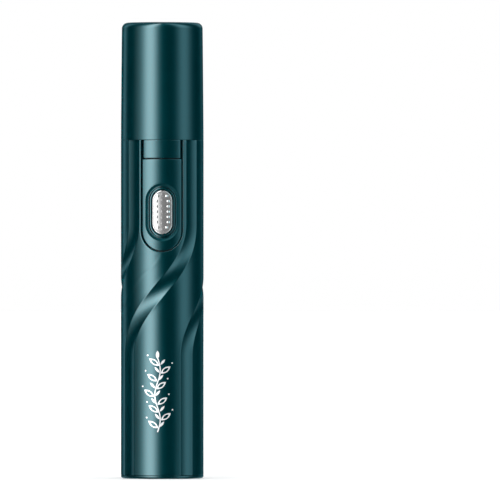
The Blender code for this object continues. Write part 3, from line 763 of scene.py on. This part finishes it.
def grip_rise(azimuth, height):
    """How proud the ring stands over a grip, which has soft sides and narrows upwards."""
    off = abs((azimuth % 180.0) - 90.0)
    taper = smooth_step((height - RING_BOTTOM) / (RING_TOP - RING_BOTTOM))
    edge = GRIP_HALF_DEG - GRIP_TAPER_DEG * taper
    return GRIP_PROUD * smooth_step((edge - off) / GRIP_EDGE_DEG)


def ring_row(height, inset=0.0):
    """Outside of the ring and its grips at one height, drawn in by an inset."""
    plain = RING_R - CONE_SLOPE * (height - RING_BOTTOM)
    row = []
    for step in range(RING_STEPS):
        azimuth = 360 / RING_STEPS * step
        row.append(polar(plain + grip_rise(azimuth, height) - inset, azimuth, height))
    return row


def ring_bore(radius, height):
    """Circle in step with the ring's outside."""
    return level_circle(radius, height, RING_STEPS)


lock_ring = bmesh.new()
ring_rows = [ring_bore(RING_BORE_R, RING_BOTTOM), ring_row(RING_BOTTOM, RING_FOOT_ROUND)]
for rise, inset in quarter_round(RING_FOOT_ROUND)[1:]:
    ring_rows.append(ring_row(RING_BOTTOM + rise, inset))
side_bottom = RING_BOTTOM + RING_FOOT_ROUND
ring_rows += [ring_row(side_bottom + RING_SIDE * step / 12) for step in range(1, 13)]
for inset, drop in quarter_round(RING_TOP_ROUND)[1:]:
    ring_rows.append(ring_row(RING_TOP - drop, inset))
ring_rows += [ring_bore(SKIRT_R + 0.3, RING_TOP), ring_bore(SKIRT_R + 0.3, SHELF_Z),
              ring_bore(RING_BORE_R, SHELF_Z)]
skin_rings(lock_ring, ring_rows, closed=True)
make_piece("lock_ring", lock_ring, TEAL, "lock_ring", "lock_ring")

# --------------------------------------------------------------------------------------------------
# Nose cone. The painted upper cone of the head, with a rounded shoulder and a close hole for the
# cutter tube. Its skirt plugs over the spigot inside the lock ring.
# --------------------------------------------------------------------------------------------------
CONE_BOTTOM = 109.32
CONE_TOP = 121.35
CONE_BOTTOM_R = RING_R - CONE_SLOPE * (CONE_BOTTOM - RING_BOTTOM)
CONE_CORNER = 1.2
CONE_TOP_R = CONE_BOTTOM_R - CONE_SLOPE * (CONE_TOP - CONE_CORNER - CONE_BOTTOM)
SKIRT_BOTTOM = 104.9
SKIRT_BORE_R = SPIGOT_R + 0.25
ROOF_Z = 119.7
TUBE_R = 4.05
HOLE_R = TUBE_R + 0.2
cone_outline = [(SKIRT_BORE_R, SKIRT_BOTTOM), (SKIRT_R, SKIRT_BOTTOM), (SKIRT_R, CONE_BOTTOM)]
cone_outline += [(CONE_BOTTOM_R - FINE_ROUND, CONE_BOTTOM)]
cone_outline += arc(CONE_BOTTOM_R - FINE_ROUND, CONE_BOTTOM + FINE_ROUND, FINE_ROUND, -80, -5, 5)
for rise in (1.0, 4.0, 8.0):
    cone_outline.append((CONE_BOTTOM_R - CONE_SLOPE * rise, CONE_BOTTOM + rise))
cone_outline += arc(CONE_TOP_R - CONE_CORNER, CONE_TOP - CONE_CORNER, CONE_CORNER, 7, 90, 10)
cone_outline += [(TUBE_R + 0.55, CONE_TOP), (TUBE_R + 0.3, CONE_TOP - 0.12)]
cone_outline += [(HOLE_R, CONE_TOP - 0.4), (HOLE_R, ROOF_Z), (5.7, ROOF_Z), (6.75, 110.0)]
cone_outline += [(SKIRT_BORE_R, 109.4)]
nose_cone = bmesh.new()
spin_outline(nose_cone, cone_outline, SPIN_STEPS)
make_piece("nose_cone", nose_cone, TEAL, "head", "nose_cone")

# --------------------------------------------------------------------------------------------------
# Cutter tube. Drawn from stainless steel and chrome plated to a mirror. Twelve slots are cut over
# its rounded crown, and the hairs that enter them are cut by the blade inside.
# --------------------------------------------------------------------------------------------------
TUBE_FOOT = 119.45
TUBE_TOP = 131.5
CROWN_ROUND = 1.2
TUBE_WALL = 0.38
SLOT_COUNT = 12
SLOT_PITCH_DEG = 360 / SLOT_COUNT
SLOT_HALF = 0.35
SLOT_START = 129.2
SLOT_END_R = 1.5
SLOT_OPENING = 4
SLOT_CLOSING = 2
STEEL_STEPS = 6
CROWN_HOLE_R = 0.5


def mirror_chrome():
    """Mirror plating with the finest drawing lines round the tube."""
    finish = Finish("mirror chrome")
    stretched = finish.node("ShaderNodeVectorMath", {"operation": "MULTIPLY"},
                            {0: finish.place(), 1: (0.05, 0.05, 1.0)})
    lines = finish.noise(5000.0, 1.0, stretched)
    cloud = finish.noise(250.0, 2.0)
    return finish.shader({
        "Base Color": finish.blend(cloud, (0.89, 0.85, 0.84), (0.94, 0.89, 0.88)),
        "Metallic": 0.93,
        "Roughness": 0.05 + cloud * 0.05,
        "Normal": finish.bump(lines, 0.03, 0.01),
    })


tube_path = [(TUBE_R, height) for height in (TUBE_FOOT, 122.0, 126.0, 128.6, SLOT_START)]
tube_path += [(TUBE_R, SLOT_START + step) for step in (0.1, 0.25, 0.45, 0.7)]
tube_path += arc(TUBE_R - CROWN_ROUND, TUBE_TOP - CROWN_ROUND, CROWN_ROUND, 0, 90, 9)
for radius in (2.4, 2.0, 1.75, 1.6, SLOT_END_R, 1.0, CROWN_HOLE_R):
    tube_path.append((radius, TUBE_TOP))
first_slot = tube_path.index((TUBE_R, SLOT_START))
last_slot = tube_path.index((SLOT_END_R, TUBE_TOP))


def slot_half_deg(index):
    """Half the angle that a slot spans at a step of the path, rounded at the slot's ends."""
    if index <= first_slot or index >= last_slot:
        return 0.0
    share = min((index - first_slot) / SLOT_OPENING, (last_slot - index) / SLOT_CLOSING, 1.0)
    return math.degrees(SLOT_HALF * math.sqrt(share) / tube_path[index][0])


def round_crown_hole(edge):
    """Whether an open edge lies round the middle of the crown."""
    reach = max(math.hypot(vert.co.x, vert.co.y) for vert in edge.verts)
    return edge.is_boundary and reach < CROWN_HOLE_R + 0.1


# Each row is a run of columns over the steel between two slots, for every slot in turn.
tube = bmesh.new()
tube_grid = []
for index, (radius, height) in enumerate(tube_path):
    half = slot_half_deg(index)
    span = SLOT_PITCH_DEG - 2 * half
    row = []
    for slot in range(SLOT_COUNT):
        start = SLOT_PITCH_DEG * (slot + 0.5) + half
        for step in range(STEEL_STEPS + 1):
            row.append(tube.verts.new(polar(radius, start + span * step / STEEL_STEPS, height)))
    tube_grid.append(row)
for low, high in zip(tube_grid, tube_grid[1:]):
    for column in range(len(low)):
        if column % (STEEL_STEPS + 1) < STEEL_STEPS:
            tube.faces.new((low[column], low[column + 1], high[column + 1], high[column]))
bmesh.ops.remove_doubles(tube, verts=tube.verts, dist=0.002)
bmesh.ops.holes_fill(tube, edges=list(filter(round_crown_hole, tube.edges)), sides=0)
cutter_tube = make_piece("cutter_tube", tube, mirror_chrome(), "head", "cutter_tube", angle=60)
wall = cutter_tube.modifiers.new("wall", "SOLIDIFY")
wall.thickness = TUBE_WALL * MM
wall.offset = -1.0

# --------------------------------------------------------------------------------------------------
# Cap. A push-fit cover in the same paint as the barrel. It narrows very slightly upwards, has a
# soft shoulder and a flat top, and grips the collar's lip.
# --------------------------------------------------------------------------------------------------
CAP_BOTTOM = 100.13
CAP_TOP = 135.0
CAP_SHOULDER = 1.75
CAP_FOOT_ROUND = 0.12
CAP_STEPS = 160
CAP_FOOT_R = BARREL_R - CAP_FOOT_ROUND
# From the middle of the ceiling down the bore, up the outside, and to the middle of the top.
cap_outline = [(0.0, 133.3)] + arc(9.6, 132.6, 0.7, 90, 0, 4) + [(10.9, 121.0)]
cap_outline += [(10.95, CAP_BOTTOM), (CAP_FOOT_R, CAP_BOTTOM)]
cap_outline += arc(CAP_FOOT_R, CAP_BOTTOM + CAP_FOOT_ROUND, CAP_FOOT_ROUND, -80, 0, 5)
cap_outline += [(12.2, 108.0), (12.12, 118.0), (12.05, 126.0), (12.0, 131.0)]
cap_outline += arc(11.97 - CAP_SHOULDER, CAP_TOP - 0.06 - CAP_SHOULDER, CAP_SHOULDER, 0, 86, 12)
cap_outline += [(6.0, CAP_TOP - 0.02), (2.0, CAP_TOP), (0.0, CAP_TOP)]
cap = bmesh.new()
spin_outline(cap, cap_outline, CAP_STEPS, closed=False)
make_piece("cap", cap, TEAL, "cap", "cap")

# --------------------------------------------------------------------------------------------------
# Battery cover. A painted disc at the foot with a plug that carries the seal and the coil contact.
# A straight slot across its underside takes a coin to free it.
# --------------------------------------------------------------------------------------------------
RIM_ROUND = 0.7
RIM_TOP = 0.78
COIN_SLOT_HALF = 0.9
COIN_SLOT_LENGTH = 13.0
COIN_SLOT_DEPTH = 0.7
COIN_SLOT_ROUND = 0.12
COIN_SLOT_EDGE = 0.06
PLUG_R = 10.1
GROOVE_R = 9.3
PLUG_BORE_R = 8.6
PLUG_TOP = 5.0
COVER_STEPS = 36


def coin_slot(inset, height):
    """Outline of the coin slot, drawn in by an inset, across the cover."""
    end = COIN_SLOT_LENGTH / 2 - inset
    outline = slot_shape(COIN_SLOT_HALF - inset, -end, end, COVER_STEPS)
    return [Vector((-along, across, height)) for across, along in outline]


# From the middle of the coin slot's floor over the underside and rim, and round the seal's groove.
cover_rings = [coin_slot(COIN_SLOT_HALF - 0.1, COIN_SLOT_DEPTH)]
cover_rings += [coin_slot(COIN_SLOT_ROUND, COIN_SLOT_DEPTH)]
cover_rings += [coin_slot(0.0, COIN_SLOT_DEPTH - COIN_SLOT_ROUND)]
cover_rings += [coin_slot(0.0, COIN_SLOT_EDGE), coin_slot(-COIN_SLOT_EDGE, 0.0)]
cover_outline = [(7.6, 0.0), (11.6, 0.0)]
cover_outline += arc(BARREL_R - RIM_ROUND, RIM_ROUND, RIM_ROUND, -80, 0, 7)
cover_outline += arc(BARREL_R - 0.02, RIM_TOP - 0.02, 0.02, 0, 90, 3)
cover_outline += [(PLUG_R, RIM_TOP), (PLUG_R, 2.5), (GROOVE_R, 2.5), (GROOVE_R, 3.75)]
cover_outline += [(PLUG_R, 3.75), (PLUG_R, PLUG_TOP), (PLUG_BORE_R, PLUG_TOP)]
cover_outline += [(PLUG_BORE_R, 2.05), (0.4, 2.05)]
for radius, height in cover_outline:
    cover_rings.append(level_circle(radius, height, 4 * COVER_STEPS, 45))
cover = bmesh.new()
skin_rings(cover, cover_rings, ends=True)
make_piece("battery_cover", cover, TEAL, "cover", "battery_cover")

# --------------------------------------------------------------------------------------------------
# Inner parts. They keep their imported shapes; each gets the finish of its material, and its facets
# are shaded as the round surfaces that they stand for.
# --------------------------------------------------------------------------------------------------


def plain_finish(name, dark, light, roughness, metallic=0.0, scale=900.0, relief=0.1):
    """A moulded or plated finish with slight colour variation and a fine surface texture."""
    finish = Finish(name)
    grain = finish.noise(scale, 3.0)
    return finish.shader({
        "Base Color": finish.blend(grain, dark, light),
        "Metallic": metallic,
        "Roughness": roughness + grain * 0.1,
        "Normal": finish.bump(grain, relief, 0.03),
    })


# Each finish has a name, a dark and a light colour, a roughness and, where they differ from the
# usual, how metallic it is, the scale of its grain and how strongly the grain shows as relief.
INNER_FINISHES = {
    "steel": plain_finish("plated steel", (0.50, 0.51, 0.53), (0.68, 0.69, 0.70), 0.22, 1.0),
    "polished_steel": plain_finish(
        "ground steel", (0.62, 0.62, 0.63), (0.80, 0.80, 0.80), 0.14, 1.0),
    "copper": plain_finish("varnished copper", (0.50, 0.20, 0.10), (0.75, 0.36, 0.18), 0.28, 1.0),
    "brass": plain_finish("brass", (0.62, 0.46, 0.20), (0.80, 0.64, 0.32), 0.25, 1.0),
    "dark_plastic": plain_finish(
        "black moulding", (0.018, 0.020, 0.022), (0.040, 0.043, 0.046), 0.45),
    "white_plastic": plain_finish("acetal", (0.66, 0.66, 0.63), (0.80, 0.80, 0.78), 0.38),
    "rubber": plain_finish(
        "rubber", (0.012, 0.012, 0.013), (0.030, 0.030, 0.032), 0.6, 0.0, 2500.0, 0.3),
    "board_green": plain_finish("solder mask", (0.010, 0.10, 0.045), (0.020, 0.18, 0.075), 0.3),
    "cell_wrap": plain_finish("cell sleeve", (0.06, 0.07, 0.08), (0.12, 0.13, 0.15), 0.25, 0.3),
    "magnet_grey": plain_finish("ferrite", (0.06, 0.06, 0.065), (0.13, 0.13, 0.135), 0.5, 0.3),
    "red_wire": plain_finish("red insulation", (0.42, 0.015, 0.015), (0.60, 0.035, 0.03), 0.4),
    "black_wire": plain_finish("black insulation", (0.012, 0.012, 0.012), (0.03, 0.03, 0.03), 0.4),
}
for entry in frame["record"]["subparts"]:
    if entry["node"] in replaced:
        continue
    node = frame["nodes"][entry["node"]]
    for holder in node.material_slots:
        holder.material = INNER_FINISHES[entry["material_slot"]]
    weld = node.modifiers.new("weld", "WELD")
    weld.merge_threshold = 0.001 * MM
    crease = node.modifiers.new("crease", "EDGE_SPLIT")
    crease.split_angle = math.radians(35)

# --------------------------------------------------------------------------------------------------
# Studio. A white floor and surround, with tall soft panels of light around the object: a strong one
# at the left front, a weaker one at the right, and dim ones at the left side and behind.
# --------------------------------------------------------------------------------------------------
WHITE = (1.0, 1.0, 1.0)
COOL = (0.95, 1.45, 1.55)
COOLER = (0.9, 1.9, 2.1)
# Azimuth and half widths to the left and right in degrees; levels seen in reflections that look
# down, level and up; colour.
PANELS = (
    (-34.0, 17.5, 16.0, 7.5, 7.0, 7.5, WHITE),
    (-66.0, 13.0, 13.0, 0.6, 0.6, 0.6, WHITE),
    (64.0, 16.0, 18.5, 1.8, 1.05, 1.7, COOL),
    (-132.0, 9.0, 11.0, 0.3, 0.30, 0.45, COOLER),
    (146.0, 11.0, 9.0, 0.2, 0.06, 0.3, COOLER),
    (180.0, 16.0, 16.0, 0.6, 0.0, 0.15, COOL),
)
ROOM_LEVELS = (0.02, 0.0, 0.03)
LEVEL_BAND_DEG = 8.0
SOFTNESS = 2.3
FLOOR_LEVEL = 1.15
FLOOR_SHADE_DEG = 55.0
FLOOR_SHADE = (0.02, 0.04, 0.05)
FLOOR_GLOW = 0.12
FLOOR_HALF_METRES = 8.0
FLOOR_DROP = 0.1


def soft_bell(reach):
    """A smooth bell of height 1 that is at a half where reach is 1."""
    return (reach.math("POWER", SOFTNESS) * -math.log(2.0)).math("EXPONENT")


def build_studio_light():
    """World: white to the camera, even as spread light, and tall soft panels in reflections."""
    world = bpy.data.worlds.new("studio")
    bpy.context.scene.world = world
    world.use_nodes = True
    world.cycles.sampling_method = "NONE"
    light = Finish("studio", world.node_tree)
    way = light.node("ShaderNodeTexCoord", {}, {}, "Generated")
    x, y, z = [light.node("ShaderNodeSeparateXYZ", {}, {"Vector": way}, axis) for axis in "XYZ"]
    azimuth = x.math("ARCTAN2", y * -1.0) * math.degrees(1.0)
    elevation = z.math("ARCSINE") * math.degrees(1.0)
    at_height = soft_bell(elevation.math("ABSOLUTE") * (1 / LEVEL_BAND_DEG))
    over = (1.0 - at_height) * z.math("GREATER_THAN", 0.0)
    under = (1.0 - at_height) - over
    low, level, high = ROOM_LEVELS
    total = light.scaled(WHITE, under * low + at_height * level + over * high)
    for centre, left, right, low, level, high, colour in PANELS:
        off = (azimuth + (540.0 - centre)).math("MODULO", 360.0) - 180.0
        reach = (off * (1 / right)).math("MAXIMUM", off * (-1 / left))
        strength = soft_bell(reach) * (under * low + at_height * level + over * high)
        shine = light.scaled(colour, strength)
        total = light.node("ShaderNodeVectorMath", {"operation": "ADD"}, {0: total, 1: shine})
    near_floor = soft_bell((elevation + 90.0) * (1 / FLOOR_SHADE_DEG))
    total = light.blend(near_floor, total, FLOOR_SHADE)
    seen = light.node("ShaderNodeLightPath", {}, {}, "Is Camera Ray")
    spread = light.node("ShaderNodeLightPath", {}, {}, "Is Diffuse Ray")
    total = light.blend(spread, total, (FLOOR_LEVEL, FLOOR_LEVEL, FLOOR_LEVEL))
    total = light.blend(seen, total, WHITE)
    background = world.node_tree.nodes["Background"]
    world.node_tree.links.new(total.socket, background.inputs["Color"])


build_studio_light()
floor_mesh = bpy.data.meshes.new("floor")
floor_shape = bmesh.new()
bmesh.ops.create_grid(floor_shape, x_segments=1, y_segments=1, size=FLOOR_HALF_METRES)
floor_shape.to_mesh(floor_mesh)
floor_shape.free()
floor = bpy.data.objects.new("floor", floor_mesh)
floor.location = (0.0, 0.0, -FLOOR_DROP * MM)
floor.visible_glossy = False
floor_finish = Finish("pale floor")
floor_mesh.materials.append(floor_finish.shader({
    "Base Color": (0.93, 0.93, 0.93),
    "Roughness": 0.9,
    "Emission Color": WHITE,
    "Emission Strength": FLOOR_GLOW,
}))
bpy.context.scene.collection.objects.link(floor)

# --------------------------------------------------------------------------------------------------
# Camera. It looks straight on to the front from far away, level with the middle of the object,
# which stands left of the middle of the picture. Its sizes are in metres.
# --------------------------------------------------------------------------------------------------
CAMERA_DISTANCE = 3.0
VIEW_WIDTH = 0.14824
VIEW_SIDE = 0.02601
VIEW_HEIGHT = 0.06758
SENSOR_WIDTH = 36.0
camera = bpy.data.objects.new("camera", bpy.data.cameras.new("camera"))
camera.data.sensor_width = SENSOR_WIDTH
camera.data.lens = SENSOR_WIDTH * CAMERA_DISTANCE / VIEW_WIDTH
camera.data.clip_start = 0.1
camera.data.clip_end = 30.0
camera.location = (VIEW_SIDE, -CAMERA_DISTANCE, VIEW_HEIGHT)
camera.rotation_euler = (math.radians(90), 0.0, 0.0)
bpy.context.scene.collection.objects.link(camera)
bpy.context.scene.camera = camera
bpy.context.scene.view_settings.view_transform = "Standard"
